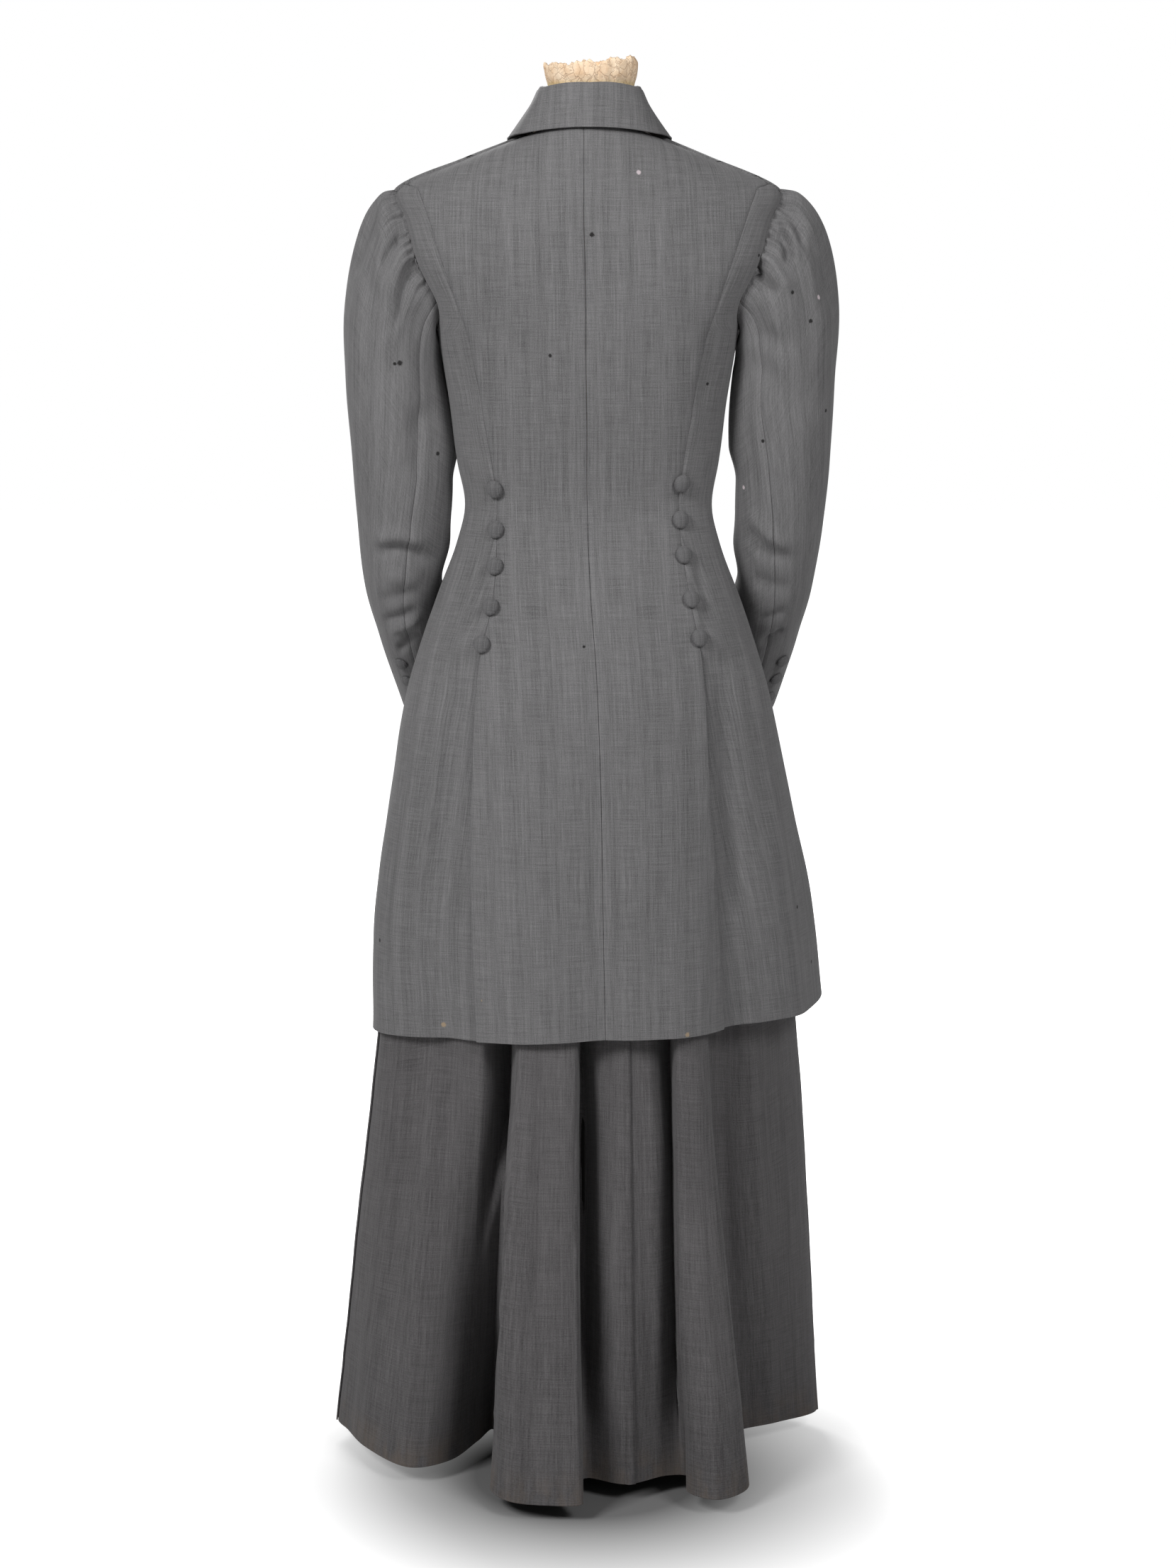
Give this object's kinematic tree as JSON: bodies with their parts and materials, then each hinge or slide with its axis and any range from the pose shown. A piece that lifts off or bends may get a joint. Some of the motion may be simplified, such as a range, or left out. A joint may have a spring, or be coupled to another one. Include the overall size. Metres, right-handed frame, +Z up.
{
  "type": "walking suit on a limbless dress form",
  "caption": "Long wool jacket with turned-down collar, full sleeve heads and covered buttons over a flared, deeply folded skirt, standing on a limbless dress form.",
  "frame": {"origin": "centre of the pole's line on the underside of the stand's base, on the floor", "axes": "+Z up, the front of the suit faces -Y, the wearer's left is +X"},
  "size_m": [0.5298, 0.3813, 1.484],
  "materials": {
    "jacket_cloth": "heathered wool, slubbed, matt",
    "button_cloth": "buttons covered in the jacket's wool",
    "skirt_cloth": "darker heathered wool, matt, soiled towards the hem",
    "form_cover": "sized and varnished cloth cover, crackled, tan",
    "stand_metal": "satin black paint"
  },
  "bodies": {
    "root": {"form_torso": "form_cover", "stand_pole": "stand_metal", "stand_base": "stand_metal", "jacket_back_left": "jacket_cloth", "jacket_side_left": "jacket_cloth", "jacket_front_left": "jacket_cloth", "revers_left": "jacket_cloth", "sleeve_top_left": "jacket_cloth", "sleeve_under_left": "jacket_cloth", "jacket_back_right": "jacket_cloth", "jacket_side_right": "jacket_cloth", "jacket_front_right": "jacket_cloth", "revers_right": "jacket_cloth", "sleeve_top_right": "jacket_cloth", "sleeve_under_right": "jacket_cloth", "collar": "jacket_cloth", "back_button_left_1": "button_cloth", "back_button_left_2": "button_cloth", "back_button_left_3": "button_cloth", "back_button_left_4": "button_cloth", "back_button_left_5": "button_cloth", "back_button_right_1": "button_cloth", "back_button_right_2": "button_cloth", "back_button_right_3": "button_cloth", "back_button_right_4": "button_cloth", "back_button_right_5": "button_cloth", "front_button_1": "button_cloth", "front_button_2": "button_cloth", "front_button_3": "button_cloth", "front_button_4": "button_cloth", "cuff_button_left_1": "button_cloth", "cuff_button_left_2": "button_cloth", "cuff_button_left_3": "button_cloth", "cuff_button_right_1": "button_cloth", "cuff_button_right_2": "button_cloth", "cuff_button_right_3": "button_cloth", "skirt_waistband": "skirt_cloth", "skirt_front": "skirt_cloth", "skirt_side_left": "skirt_cloth", "skirt_side_right": "skirt_cloth", "skirt_back_left": "skirt_cloth", "skirt_back_right": "skirt_cloth"}
  },
  "joints": []
}
